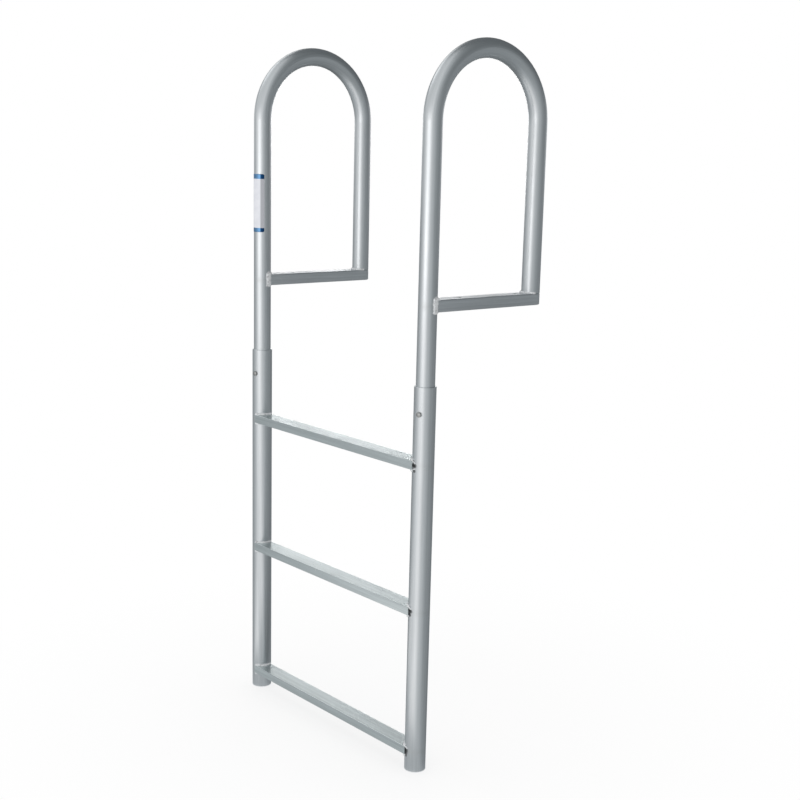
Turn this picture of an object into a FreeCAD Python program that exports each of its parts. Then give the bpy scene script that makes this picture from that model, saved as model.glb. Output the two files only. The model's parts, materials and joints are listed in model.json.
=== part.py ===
# Fixed dock ladder of welded aluminium tube, in millimetres.
# Two telescoping hand hoops on deck bars, two hollow legs and three ribbed treads.
# The origin is on the deck face under the right bar, +Z up, +Y over the dock, +X to the climber's right.
import FreeCAD, Part
import math
import os
import Sketcher

V = FreeCAD.Vector
UP = V(0, 0, 1)
TINY = 1e-6

SIZES = {
    # legs
    "leg_spacing": 571.5,
    "leg_diameter": 44.45,
    "leg_foot": 35.15,
    "edge_round": 0.8,
    # treads
    "tread_drop": 149.0,
    "tread_spacing": 304.8,
    "tread_width": 38.1,
    "tread_height": 19.05,
    "tread_wall": 2.2,
    "tread_corner": 1.6,
    "tread_lip": 0.9,
    "lip_height": 2.6,
    "lip_corner": 1.2,
    "tread_setback": 6.0,
    "groove_width": 1.4,
    "groove_depth": 0.35,
    "groove_pitch": 4.2,
    "groove_count": 8,
    # handles
    "handle_diameter": 38.1,
    "handle_wall": 3.0,
    "handle_depth": 279.4,
    "handle_height": 520.7,
    "handle_insert": 114.3,
    "slip_gap": 0.2,
    "deck_drop": 146.0,
    # deck bars
    "bar_height": 24.0,
    "bar_width": 38.1,
    "bar_wall": 3.0,
    "bar_corner": 2.4,
    "bar_setback": 3.0,
    "deck_hole": 9.5,
    "deck_hole_spacing": 152.4,
    # handle screws
    "screw_drop": 54.0,
    "right_screw_turn": 19.0,
    "left_screw_turn": 11.0,
    "screw_diameter": 6.35,
    "screw_length": 11.0,
    "screw_gap": 0.2,
    "head_diameter": 10.6,
    "head_side": 2.4,
    "head_crown": 1.4,
    # welds
    "joint_gap": 0.1,
    "weld_size": 4.0,
}

SIDES = {"right": "0 * Sizes.leg_spacing", "left": "-Sizes.leg_spacing"}
TREADS = {"top": 0, "middle": 1, "bottom": 2}
DECK_HOLES = 2

LEG_RADIUS = "Sizes.leg_diameter / 2"
HANDLE_RADIUS = "Sizes.handle_diameter / 2"
SCREW_HOLE_RADIUS = "Sizes.screw_diameter / 2 + Sizes.screw_gap"
TUBE_Y = "-(Sizes.handle_depth + Sizes.handle_diameter) / 2"
TREAD_FRONT = f"({LEG_RADIUS} + Sizes.joint_gap + Sizes.tread_wall)"
LEG_TOP = "-Sizes.deck_drop"
LEG_LENGTH = (f"Sizes.tread_drop + {len(TREADS) - 1} * Sizes.tread_spacing"
              " + Sizes.tread_height + Sizes.leg_foot")
SCREW_Z = "-(Sizes.deck_drop + Sizes.screw_drop)"
SCREW_TURNS = {"right": "Sizes.right_screw_turn", "left": "Sizes.left_screw_turn"}

doc = FreeCAD.newDocument("dock_ladder")
sheet = doc.addObject("Spreadsheet::Sheet", "Sizes")
for row, (alias, value) in enumerate(SIZES.items(), 1):
    sheet.set(f"A{row}", alias)
    sheet.set(f"B{row}", str(value))
    sheet.setAlias(f"B{row}", alias)
doc.recompute()

nodes = []


def number(expression):
    """What an expression of the sheet comes to now."""
    return float(sheet.evalExpression(expression))


def bind(obj, **expressions):
    """Ties properties to sheet expressions; a double underscore in a name stands for a dot."""
    for name, expression in expressions.items():
        obj.setExpression(name.replace("__", "."), expression)


def place(obj, x="0", y="0", z="0"):
    bind(obj, Placement__Base__x=x, Placement__Base__y=y, Placement__Base__z=z)


def sub_part(obj, label):
    obj.Label = label
    nodes.append(obj)


# Sketches


def new_body(name):
    return doc.addObject("PartDesign::Body", name)


def origin_feature(body, role):
    return next(f for f in body.Origin.OriginFeatures if f.Role == role)


def new_sketch(body, name, plane, x="0", y="0", z="0", turn=None):
    """Sketch on one of the body's planes: moved in it by x and y, off it by z, turned about its upright."""
    sketch = body.newObject("Sketcher::SketchObject", name)
    sketch.AttachmentSupport = [(origin_feature(body, plane), "")]
    sketch.MapMode = "FlatFace"
    bind(sketch, AttachmentOffset__Base__x=x, AttachmentOffset__Base__y=y, AttachmentOffset__Base__z=z)
    if turn:
        sketch.AttachmentOffset = FreeCAD.Placement(V(), FreeCAD.Rotation(V(0, 1, 0), number(turn)))
        bind(sketch, AttachmentOffset__Rotation__Angle=turn)
    return sketch


def dimension(sketch, name, expression, kind, *ends):
    """Named dimension that follows an expression of the sheet."""
    index = sketch.addConstraint(Sketcher.Constraint(kind, *ends, number(expression)))
    sketch.renameConstraint(index, name)
    sketch.setExpression("Constraints." + name, expression)


def circle(sketch, name, radius, x=None):
    """Circle about the sketch's origin, or at a distance x from it along the first axis."""
    centre = V(number(x) if x else 0, 0, 0)
    index = sketch.addGeometry(Part.Circle(centre, UP, number(radius)))
    if x:
        sketch.addConstraint(Sketcher.Constraint("PointOnObject", index, 3, -1))
        dimension(sketch, name + "_x", x, "DistanceX", -1, 1, index, 3)
    else:
        sketch.addConstraint(Sketcher.Constraint("Coincident", index, 3, -1, 1))
    dimension(sketch, name + "_radius", radius, "Radius", index)


def rectangle(sketch, name, width, height):
    """Rectangle centred on the sketch's origin."""
    x, y = number(width) / 2, number(height) / 2
    corners = [V(-x, -y, 0), V(x, -y, 0), V(x, y, 0), V(-x, y, 0)]
    lines = [sketch.addGeometry(Part.LineSegment(corners[k], corners[(k + 1) % 4])) for k in range(4)]
    for k in range(4):
        sketch.addConstraint(Sketcher.Constraint("Coincident", lines[k], 2, lines[(k + 1) % 4], 1))
        sketch.addConstraint(Sketcher.Constraint("Vertical" if k % 2 else "Horizontal", lines[k]))
    sketch.addConstraint(Sketcher.Constraint("Symmetric", lines[0], 1, lines[2], 1, -1, 1))
    dimension(sketch, name + "_width", width, "DistanceX", lines[0], 1, lines[0], 2)
    dimension(sketch, name + "_height", height, "DistanceY", lines[1], 1, lines[1], 2)


def rounded_rectangle(sketch, name, width, height, corner):
    """Rectangle with round corners, centred on the sketch's origin."""
    x, y, r = number(width) / 2, number(height) / 2, number(corner)
    turns = [V(-x + r, -y + r, 0), V(x - r, -y + r, 0), V(x - r, y - r, 0), V(-x + r, y - r, 0)]
    outward = [V(0, -r, 0), V(r, 0, 0), V(0, r, 0), V(-r, 0, 0)]
    lines = []
    arcs = []
    for k in range(4):
        start, end = turns[k] + outward[k], turns[(k + 1) % 4] + outward[k]
        lines.append(sketch.addGeometry(Part.LineSegment(start, end)))
        quarter = math.pi / 2
        arcs.append(sketch.addGeometry(Part.ArcOfCircle(Part.Circle(turns[k], UP, r), (k + 2) * quarter,
                                                        (k + 3) * quarter)))
    for k in range(4):
        sketch.addConstraint(Sketcher.Constraint("Tangent", arcs[k], 2, lines[k], 1))
        sketch.addConstraint(Sketcher.Constraint("Tangent", lines[k], 2, arcs[(k + 1) % 4], 1))
        sketch.addConstraint(Sketcher.Constraint("Vertical" if k % 2 else "Horizontal", lines[k]))
    for k in (1, 2, 3):
        sketch.addConstraint(Sketcher.Constraint("Equal", arcs[0], arcs[k]))
    sketch.addConstraint(Sketcher.Constraint("Symmetric", arcs[0], 3, arcs[2], 3, -1, 1))
    dimension(sketch, name + "_corner", corner, "Radius", arcs[0])
    dimension(sketch, name + "_width", f"{width} - 2 * {corner}", "DistanceX", arcs[0], 3, arcs[1], 3)
    dimension(sketch, name + "_height", f"{height} - 2 * {corner}", "DistanceY", arcs[1], 3, arcs[2], 3)


def half_outline(sketch, name, reach, height, corner):
    """Right half of a round-cornered rectangle, closed along the sketch's upright axis."""
    x, y, r = number(reach), number(height) / 2, number(corner)
    lines = [sketch.addGeometry(Part.LineSegment(a, b)) for a, b in (
        (V(0, y, 0), V(0, -y, 0)), (V(0, -y, 0), V(x - r, -y, 0)), (V(x, -y + r, 0), V(x, y - r, 0)),
        (V(x - r, y, 0), V(0, y, 0)))]
    axis, low, outer, high = lines
    arcs = [sketch.addGeometry(Part.ArcOfCircle(Part.Circle(V(x - r, sign * (y - r), 0), UP, r), start,
                                                start + math.pi / 2))
            for sign, start in ((-1, -math.pi / 2), (1, 0))]
    for line, end, other in ((low, 2, arcs[0]), (outer, 2, arcs[1])):
        sketch.addConstraint(Sketcher.Constraint("Tangent", line, end, other, 1))
    sketch.addConstraint(Sketcher.Constraint("Tangent", arcs[0], 2, outer, 1))
    sketch.addConstraint(Sketcher.Constraint("Tangent", arcs[1], 2, high, 1))
    sketch.addConstraint(Sketcher.Constraint("Coincident", high, 2, axis, 1))
    sketch.addConstraint(Sketcher.Constraint("Coincident", axis, 2, low, 1))
    for line in (low, high):
        sketch.addConstraint(Sketcher.Constraint("Horizontal", line))
    for line in (axis, outer):
        sketch.addConstraint(Sketcher.Constraint("Vertical", line))
    sketch.addConstraint(Sketcher.Constraint("Equal", arcs[0], arcs[1]))
    sketch.addConstraint(Sketcher.Constraint("Symmetric", axis, 1, axis, 2, -1, 1))
    dimension(sketch, name + "_corner", corner, "Radius", arcs[0])
    dimension(sketch, name + "_reach", f"{reach} - {corner}", "DistanceX", axis, 2, low, 2)
    dimension(sketch, name + "_height", height, "DistanceY", axis, 2, axis, 1)


# Features of a body


def pad(body, sketch, length, both=False, reverse=False):
    feature = body.newObject("PartDesign::Pad", sketch.Name + "Pad")
    feature.Profile = sketch
    feature.Reversed = reverse
    feature.SideType = "Symmetric" if both else "One side"
    bind(feature, Length=length)
    body.Tip = feature
    return feature


def pocket(body, sketch, length=None, front_only=False):
    """Cut both ways from the sketch, right through or of a whole length; or to its front only."""
    feature = body.newObject("PartDesign::Pocket", sketch.Name + "Pocket")
    feature.Profile = sketch
    feature.SideType = "One side" if front_only else "Symmetric"
    feature.Reversed = front_only
    feature.Type = "Length" if length else "ThroughAll"
    if length:
        bind(feature, Length=length)
    body.Tip = feature
    return feature


def turn_round(body, sketch, name, angle=360):
    """Solid of revolution of a sketch about its own upright axis."""
    turned = body.newObject("PartDesign::Revolution", name)
    turned.Profile = sketch
    turned.ReferenceAxis = (sketch, ["V_Axis"])
    turned.Angle = angle
    body.Tip = turned


def pattern(body, name, feature, sketch, axis, count, length):
    """Row of copies of a feature along one of its sketch's axes."""
    copies = body.newObject("PartDesign::LinearPattern", name)
    copies.Originals = [feature]
    copies.Direction = (sketch, [axis])
    bind(copies, Length=length, Occurrences=count)
    body.Tip = copies


# Solids for the welds


def box(name, x, y, z, x_size, y_size, z_size):
    """Box centred on x, from y and z upwards."""
    block = doc.addObject("Part::Box", name)
    bind(block, Length=x_size, Width=y_size, Height=z_size)
    place(block, f"{x} - ({x_size}) / 2", y, z)
    return block


def cylinder(name, radius, height, x="0", y="0", z="0"):
    rod = doc.addObject("Part::Cylinder", name)
    bind(rod, Radius=radius, Height=height)
    place(rod, x, y, z)
    return rod


def cone(name, low_radius, high_radius, height, z="0", turn=0):
    """Cone up from z, or down from it when turned over."""
    taper = doc.addObject("Part::Cone", name)
    taper.Placement = FreeCAD.Placement(V(), FreeCAD.Rotation(V(1, 0, 0), turn))
    bind(taper, Radius1=low_radius, Radius2=high_radius, Height=height)
    place(taper, z=z)
    return taper


def cut(name, base, tool):
    result = doc.addObject("Part::Cut", name)
    result.Base = base
    result.Tool = tool
    return result


def common(name, *shapes):
    result = doc.addObject("Part::MultiCommon", name)
    result.Shapes = list(shapes)
    return result


def fuse(name, *shapes):
    result = doc.addObject("Part::MultiFuse", name)
    result.Shapes = list(shapes)
    return result


# Legs


def make_leg(side):
    """Tube that runs on past the bottom tread, its rims rounded, with a screw hole near its top."""
    body = new_body(side.title() + "Leg")
    section = new_sketch(body, side + "_leg_section", "XY_Plane")
    circle(section, "outside", LEG_RADIUS)
    circle(section, "bore", HANDLE_RADIUS + " + Sizes.slip_gap")
    tube = pad(body, section, LEG_LENGTH, reverse=True)
    doc.recompute()
    radius = number(LEG_RADIUS)
    rims = [f"Edge{k}" for k, edge in enumerate(tube.Shape.Edges, 1)
            if edge.Curve.TypeId == "Part::GeomCircle" and abs(edge.Curve.Radius - radius) < TINY]
    ends = body.newObject("PartDesign::Fillet", side + "_leg_ends")
    ends.Base = (tube, rims)
    bind(ends, Radius="Sizes.edge_round")
    body.Tip = ends
    screw = new_sketch(body, side + "_leg_screw_hole", "XZ_Plane", y="-Sizes.screw_drop",
                       turn=SCREW_TURNS[side])
    circle(screw, "hole", SCREW_HOLE_RADIUS)
    pocket(body, screw, front_only=True)
    place(body, SIDES[side], TUBE_Y, LEG_TOP)
    sub_part(body, side + "_leg")


# Treads


def tread_top(index):
    return f"-(Sizes.deck_drop + Sizes.tread_drop + {index} * Sizes.tread_spacing)"


def make_tread(name, index):
    """Hollow ribbed step under a lipped top, its ends coped round the legs, its front just ahead of them."""
    body = new_body(name.title() + "Tread")
    middle = f"Sizes.tread_width / 2 - ({TREAD_FRONT} + Sizes.tread_lip)"
    length = "Sizes.leg_spacing - 2 * Sizes.tread_setback"
    section = new_sketch(body, name + "_tread_section", "YZ_Plane", x=middle, y="-Sizes.tread_height / 2")
    rounded_rectangle(section, "outside", "Sizes.tread_width - 2 * Sizes.tread_lip", "Sizes.tread_height",
                      "Sizes.tread_corner")
    rectangle(section, "hollow", "Sizes.tread_width - 2 * (Sizes.tread_lip + Sizes.tread_wall)",
              "Sizes.tread_height - 2 * Sizes.tread_wall")
    pad(body, section, length, both=True)
    top = new_sketch(body, name + "_tread_top", "YZ_Plane", x=middle, y="-Sizes.lip_height / 2")
    rounded_rectangle(top, "plate", "Sizes.tread_width", "Sizes.lip_height", "Sizes.lip_corner")
    pad(body, top, length, both=True)
    row = "(Sizes.groove_count - 1) * Sizes.groove_pitch"
    groove = new_sketch(body, name + "_tread_groove", "YZ_Plane", x=f"{middle} - {row} / 2")
    rectangle(groove, "groove", "Sizes.groove_width", "2 * Sizes.groove_depth")
    first = pocket(body, groove)
    pattern(body, name + "_tread_ribs", first, groove, "H_Axis", "Sizes.groove_count", row)
    cope = new_sketch(body, name + "_tread_cope", "XY_Plane")
    circle(cope, "leg", LEG_RADIUS + " + Sizes.joint_gap", x="Sizes.leg_spacing / 2")
    right_cope = pocket(body, cope)
    left_cope = body.newObject("PartDesign::Mirrored", name + "_tread_left_cope")
    left_cope.Originals = [right_cope]
    left_cope.MirrorPlane = (origin_feature(body, "YZ_Plane"), [""])
    body.Tip = left_cope
    place(body, "-Sizes.leg_spacing / 2", TUBE_Y, tread_top(index))
    sub_part(body, "tread_" + name)


# Handles


def make_handle(side):
    """Tube bent into a hoop: its front end slides into the leg, its rear end stands on the bar."""
    body = new_body(side.title() + "Handle")
    below_deck = "Sizes.deck_drop + Sizes.handle_insert"
    bend_radius = "Sizes.handle_depth / 2"
    bend_start = f"Sizes.handle_height - {HANDLE_RADIUS} - {bend_radius}"
    low, bend, high, stand = (number(e) for e in (below_deck, bend_radius, bend_start, "Sizes.bar_height"))
    path = new_sketch(body, side + "_handle_path", "YZ_Plane")
    front = path.addGeometry(Part.LineSegment(V(0, -low, 0), V(0, high, 0)))
    arch = path.addGeometry(Part.ArcOfCircle(Part.Circle(V(bend, high, 0), UP, bend), 0, math.pi))
    rear = path.addGeometry(Part.LineSegment(V(2 * bend, high, 0), V(2 * bend, stand, 0)))
    path.addConstraint(Sketcher.Constraint("PointOnObject", front, 1, -2))
    path.addConstraint(Sketcher.Constraint("Tangent", front, 2, arch, 2))
    path.addConstraint(Sketcher.Constraint("Tangent", arch, 1, rear, 1))
    path.addConstraint(Sketcher.Constraint("PointOnObject", front, 2, -2))
    path.addConstraint(Sketcher.Constraint("Vertical", rear))
    dimension(path, "below_deck", below_deck, "DistanceY", front, 1, -1, 1)
    dimension(path, "bend", bend_radius, "Radius", arch)
    dimension(path, "bend_start", bend_start, "DistanceY", -1, 1, front, 2)
    dimension(path, "rear_end", "Sizes.bar_height", "DistanceY", -1, 1, rear, 2)
    bore_radius = HANDLE_RADIUS + " - Sizes.handle_wall"
    for kind, radius in (("Additive", HANDLE_RADIUS), ("Subtractive", bore_radius)):
        section = new_sketch(body, f"{side}_handle_{kind.lower()}_section", "XY_Plane", z=f"-({below_deck})")
        circle(section, "tube", radius)
        doc.recompute()
        pipe = body.newObject(f"PartDesign::{kind}Pipe", f"{side}_handle_{kind.lower()}_pipe")
        pipe.Profile = section
        pipe.Spine = (path, ["Edge1", "Edge2", "Edge3"])
        body.Tip = pipe
    screw = new_sketch(body, side + "_handle_screw_hole", "XZ_Plane", y=SCREW_Z, turn=SCREW_TURNS[side])
    circle(screw, "hole", SCREW_HOLE_RADIUS)
    pocket(body, screw, front_only=True)
    place(body, SIDES[side], TUBE_Y)
    sub_part(body, side + "_handle")


# Deck bars


def make_bar(side):
    """Flat tube coped round the handle's front leg, its closed rear end rounded like the rear leg on it."""
    body = new_body(side.title() + "DeckBar")
    middle = "Sizes.bar_height / 2"
    hollow_height = "Sizes.bar_height - 2 * Sizes.bar_wall"
    section = new_sketch(body, side + "_bar_section", "XZ_Plane", y=middle, z="-Sizes.bar_setback")
    rounded_rectangle(section, "outside", "Sizes.bar_width", "Sizes.bar_height", "Sizes.bar_corner")
    length = "Sizes.handle_depth - Sizes.bar_setback"
    pad(body, section, length, reverse=True)
    end = new_sketch(body, side + "_bar_end", "XZ_Plane", y=middle, z="-Sizes.handle_depth")
    half_outline(end, "end", "Sizes.bar_width / 2", "Sizes.bar_height", "Sizes.bar_corner")
    turn_round(body, end, side + "_bar_round_end", 180)
    hollow = new_sketch(body, side + "_bar_hollow", "XZ_Plane", y=middle)
    rectangle(hollow, "hollow", "Sizes.bar_width - 2 * Sizes.bar_wall", hollow_height)
    pocket(body, hollow, "2 * Sizes.handle_depth")
    end_hollow = new_sketch(body, side + "_bar_end_hollow", "XY_Plane", y="Sizes.handle_depth", z=middle)
    circle(end_hollow, "hollow", "Sizes.bar_width / 2 - Sizes.bar_wall")
    pocket(body, end_hollow, hollow_height)
    cope = new_sketch(body, side + "_bar_cope", "XY_Plane")
    circle(cope, "tube", HANDLE_RADIUS + " + Sizes.joint_gap")
    pocket(body, cope)
    hole = new_sketch(body, side + "_bar_deck_hole", "XY_Plane",
                      y=f"-({TUBE_Y}) - Sizes.deck_hole_spacing / 2")
    circle(hole, "hole", "Sizes.deck_hole / 2")
    first = pocket(body, hole)
    pattern(body, side + "_bar_deck_holes", first, hole, "V_Axis", str(DECK_HOLES),
            "Sizes.deck_hole_spacing")
    place(body, SIDES[side], TUBE_Y)
    sub_part(body, side + "_deck_bar")


# Handle screws


def make_screw(side):
    """Pan-head screw through the leg into the handle, from the front and turned a little to the right."""
    body = new_body(side.title() + "HandleScrew")
    profile = new_sketch(body, side + "_screw_profile", "XY_Plane")
    head, shank = "Sizes.head_diameter / 2", "Sizes.screw_diameter / 2"
    radius, crown, flank, rod, tail = (number(e) for e in (head, "Sizes.head_crown", "Sizes.head_side",
                                                           shank, "Sizes.screw_length"))
    corners = [V(radius, -flank, 0), V(radius, 0, 0), V(rod, 0, 0), V(rod, tail, 0), V(0, tail, 0),
               V(0, -flank - crown, 0)]
    lines = [profile.addGeometry(Part.LineSegment(a, b)) for a, b in zip(corners, corners[1:])]
    side_line, seat, rod_line, end, axis = lines
    dome_radius = (radius ** 2 + crown ** 2) / (2 * crown)
    dome_circle = Part.Circle(V(0, dome_radius - flank - crown, 0), UP, dome_radius)
    rim_angle = math.asin(radius / dome_radius) - math.pi / 2
    dome = profile.addGeometry(Part.ArcOfCircle(dome_circle, -math.pi / 2, rim_angle))
    for first, second in zip(lines, lines[1:] + [dome]):
        profile.addConstraint(Sketcher.Constraint("Coincident", first, 2, second, 1))
    profile.addConstraint(Sketcher.Constraint("Coincident", dome, 2, side_line, 1))
    for line in (seat, end):
        profile.addConstraint(Sketcher.Constraint("Horizontal", line))
    for line in (side_line, rod_line):
        profile.addConstraint(Sketcher.Constraint("Vertical", line))
    for line, point in ((axis, 1), (axis, 2), (dome, 3)):
        profile.addConstraint(Sketcher.Constraint("PointOnObject", line, point, -2))
    profile.addConstraint(Sketcher.Constraint("PointOnObject", seat, 1, -1))
    dimension(profile, "head", head, "DistanceX", -1, 1, seat, 1)
    dimension(profile, "shank", shank, "DistanceX", -1, 1, rod_line, 1)
    dimension(profile, "head_side", "Sizes.head_side", "DistanceY", side_line, 1, -1, 1)
    dimension(profile, "rise", "Sizes.head_side + Sizes.head_crown", "DistanceY", axis, 2, -1, 1)
    dimension(profile, "tail", "Sizes.screw_length", "DistanceY", -1, 1, end, 1)
    turn_round(body, profile, side + "_screw_turned")
    turn = SCREW_TURNS[side]
    reach = f"({LEG_RADIUS} + Sizes.joint_gap)"
    body.Placement = FreeCAD.Placement(V(), FreeCAD.Rotation(UP, number(turn)))
    bind(body, Placement__Rotation__Angle=turn)
    place(body, f"{SIDES[side]} + {reach} * sin({turn})", f"{TUBE_Y} - {reach} * cos({turn})", SCREW_Z)
    sub_part(body, side + "_handle_screw")


# Welds


def make_bar_weld(side):
    """One bead up the bar's side, round the handle's front leg on top of the bar and down the other side."""
    name = side + "_bar_weld"
    reach = HANDLE_RADIUS + " + Sizes.weld_size"
    ring = cone(name + "_ring", reach, HANDLE_RADIUS, "Sizes.weld_size", z="Sizes.bar_height")
    over = box(name + "_over", "0", "Sizes.bar_setback", "Sizes.bar_height", "Sizes.bar_width", reach,
               "Sizes.weld_size")
    flanks = [cylinder(f"{name}_flank_{k}", "Sizes.weld_size", "Sizes.bar_height + Sizes.weld_size / 2",
                       x=sign + "Sizes.bar_width / 2", y="Sizes.bar_setback", z="Sizes.joint_gap")
              for k, sign in enumerate(("", "-"))]
    whole = fuse(name + "_whole", common(name + "_top", ring, over), *flanks)
    bar = box(name + "_bar", "0", "Sizes.bar_setback - Sizes.weld_size", "0", "Sizes.bar_width",
              reach + " + Sizes.weld_size", "Sizes.bar_height")
    tube = cylinder(name + "_tube", HANDLE_RADIUS + " + Sizes.joint_gap",
                    "Sizes.bar_height + 2 * Sizes.weld_size")
    bead = cut(side.title() + "BarWeld", cut(name + "_off_bar", whole, bar), tube)
    place(bead, SIDES[side], TUBE_Y)
    sub_part(bead, name)


def make_post_weld(side):
    """Fillet bead at the foot of the handle's rear leg, on top of the bar."""
    name = side + "_post_weld"
    reach = HANDLE_RADIUS + " + Sizes.weld_size"
    ring = cone(name + "_ring", reach, HANDLE_RADIUS, "Sizes.weld_size")
    tube = cylinder(name + "_tube", HANDLE_RADIUS + " + Sizes.joint_gap", "Sizes.weld_size")
    seat = box(name + "_seat", "0", f"-({reach})", "0", "Sizes.bar_width - 2 * Sizes.bar_corner", reach,
               "Sizes.weld_size")
    bead = common(side.title() + "PostWeld", cut(name + "_off_tube", ring, tube), seat)
    place(bead, SIDES[side], f"{TUBE_Y} + Sizes.handle_depth", "Sizes.bar_height")
    sub_part(bead, name)


def make_tread_weld(side, tread, index):
    """Beads over and under the tread's coped end, against the leg."""
    name = f"{side}_{tread}_tread_weld"
    inward = "-" if side == "right" else ""
    toe = LEG_RADIUS + " + Sizes.weld_size"
    over = cone(name + "_over", toe, LEG_RADIUS, "Sizes.weld_size")
    under = cone(name + "_under", toe, LEG_RADIUS, "Sizes.weld_size", z="-Sizes.tread_height", turn=180)
    tube = cylinder(name + "_tube", LEG_RADIUS + " + Sizes.joint_gap",
                    "Sizes.tread_height + 4 * Sizes.weld_size",
                    z="-(Sizes.tread_height + 2 * Sizes.weld_size)")
    length = f"({toe} - Sizes.tread_setback)"
    front = f"Sizes.tread_corner - {TREAD_FRONT}"
    seat = box(name + "_seat", f"{inward}(Sizes.tread_setback + {length} / 2)", front,
               "-(Sizes.tread_height + Sizes.weld_size)", length,
               "Sizes.tread_width - 2 * (Sizes.tread_lip + Sizes.tread_corner)",
               "Sizes.tread_height + 2 * Sizes.weld_size")
    beads = cut(name + "_off_leg", fuse(name + "_cones", over, under), tube)
    bead = common(f"{side.title()}{tread.title()}TreadWeld", beads, seat)
    place(bead, SIDES[side], TUBE_Y, tread_top(index))
    sub_part(bead, name)


for side in SIDES:
    make_leg(side)
    make_handle(side)
    make_bar(side)
    make_screw(side)
    make_bar_weld(side)
    make_post_weld(side)
for tread, index in TREADS.items():
    make_tread(tread, index)
    for side in SIDES:
        make_tread_weld(side, tread, index)
doc.recompute()

for obj in doc.Objects:
    if any(state in ("Invalid", "Error") for state in obj.State):
        raise SystemExit(f"{obj.Name} failed: {obj.State}")
os.makedirs("parts", exist_ok=True)
for node in nodes:
    if node.Shape.isNull() or not node.Shape.isValid() or not node.Shape.Solids:
        raise SystemExit(f"{node.Label} has no valid solid")
    node.Shape.exportStep(os.path.join("parts", node.Label + ".step"))
    extent = node.Shape.BoundBox
    print(f"{node.Label:26s} {len(node.Shape.Solids)} {node.Shape.Volume:11.1f}"
          f"  x {extent.XMin:8.1f} {extent.XMax:8.1f}  y {extent.YMin:8.1f} {extent.YMax:8.1f}"
          f"  z {extent.ZMin:8.1f} {extent.ZMax:8.1f}")
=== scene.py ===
"""Dock ladder of welded aluminium tube: finishes, weld beads, a blank label, studio and camera."""
import json
import math

import bpy
import numpy as np
from mathutils import Matrix, Vector


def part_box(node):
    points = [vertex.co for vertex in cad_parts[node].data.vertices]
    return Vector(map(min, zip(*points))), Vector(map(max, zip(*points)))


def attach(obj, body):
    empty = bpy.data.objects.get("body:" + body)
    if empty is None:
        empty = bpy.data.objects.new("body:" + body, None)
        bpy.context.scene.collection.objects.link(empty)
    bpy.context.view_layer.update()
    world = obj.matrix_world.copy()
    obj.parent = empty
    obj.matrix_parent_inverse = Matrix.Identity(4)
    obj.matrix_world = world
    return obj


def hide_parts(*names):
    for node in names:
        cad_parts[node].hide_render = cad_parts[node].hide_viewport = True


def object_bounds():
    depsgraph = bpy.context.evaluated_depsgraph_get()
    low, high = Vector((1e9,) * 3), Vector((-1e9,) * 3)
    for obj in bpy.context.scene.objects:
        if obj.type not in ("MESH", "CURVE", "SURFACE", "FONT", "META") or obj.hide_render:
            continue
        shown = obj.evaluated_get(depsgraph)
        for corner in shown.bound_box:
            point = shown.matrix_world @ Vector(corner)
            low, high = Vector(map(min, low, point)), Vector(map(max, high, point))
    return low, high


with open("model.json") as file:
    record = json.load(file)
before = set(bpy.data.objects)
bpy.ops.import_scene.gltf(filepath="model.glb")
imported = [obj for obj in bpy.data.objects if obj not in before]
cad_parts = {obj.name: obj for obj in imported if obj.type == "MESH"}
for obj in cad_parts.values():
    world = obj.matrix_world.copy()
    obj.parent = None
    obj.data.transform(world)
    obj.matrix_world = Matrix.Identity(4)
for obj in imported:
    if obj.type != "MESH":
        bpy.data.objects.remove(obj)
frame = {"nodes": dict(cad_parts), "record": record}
cad_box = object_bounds()

MM = 0.001
PHOTO_SIZE = 800

# The camera that matches the photograph: place in metres, turns in degrees, lens and centre in pixels.
CAMERA_PLACE = (2.006322, -1.895355, 0.318334)
CAMERA_YAW = 50.1302
CAMERA_PITCH = 12.8359
CAMERA_ROLL = -1.3954
CAMERA_FOCUS = 1367.894
CAMERA_CENTRE = (400.0, 455.0)
CAMERA_REACH = 200
SENSOR = 36.0

# Each side with its way along X from the ladder's middle.
SIDES = {"right": 1.0, "left": -1.0}
TREADS = ("top", "middle", "bottom")


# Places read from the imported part


def middle(name):
    """Centre of the box of the part's node with this name."""
    low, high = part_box(name)
    return (low + high) / 2


leg_low, leg_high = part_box("right_leg")
leg_radius = (leg_high.x - leg_low.x) / 2
leg_y = middle("right_leg").y
bar_low, bar_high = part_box("right_deck_bar")
bar_half = (bar_high.x - bar_low.x) / 2
handle_low, handle_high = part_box("right_handle")
handle_radius = (handle_high.x - handle_low.x) / 2
bend_radius = (handle_high.y - handle_low.y) / 2 - handle_radius
bend_centre = (leg_y + bend_radius, handle_high.z - handle_radius - bend_radius)
post_y = leg_y + 2 * bend_radius
side_x = {side: middle(side + "_leg").x for side in SIDES}
floor_z = leg_low.z
centre = (cad_box[0] + cad_box[1]) / 2
# The camera's turn about the upright through the ladder's middle.
facing = math.atan2(CAMERA_PLACE[1] - centre.y, CAMERA_PLACE[0] - centre.x)


# The camera


def camera_axes():
    """Right, up and back of the camera: yaw about the upright, then pitch down, then roll about the view."""
    yaw, pitch, roll = (math.radians(a) for a in (CAMERA_YAW, CAMERA_PITCH, CAMERA_ROLL))
    forward = Vector((-math.sin(yaw) * math.cos(pitch), math.cos(yaw) * math.cos(pitch), -math.sin(pitch)))
    right = Vector((math.cos(yaw), math.sin(yaw), 0))
    down = forward.cross(right)
    right, down = (math.cos(roll) * right + math.sin(roll) * down,
                   -math.sin(roll) * right + math.cos(roll) * down)
    return right, -down, -forward


def height_at_row(row, x, y):
    """Height at which the upright line through x, y crosses a row of the photograph.

    The row's distance from the picture's centre over the focus is the slope of the ray down from the view."""
    right, up, back = camera_axes()
    slope = (row - CAMERA_CENTRE[1]) / CAMERA_FOCUS
    base = Vector((x, y, 0)) - Vector(CAMERA_PLACE)
    # -(base + z k).up = slope * -(base + z k).back, solved for z
    return (slope * base.dot(back) - base.dot(up)) / (up.z - slope * back.z)


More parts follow.
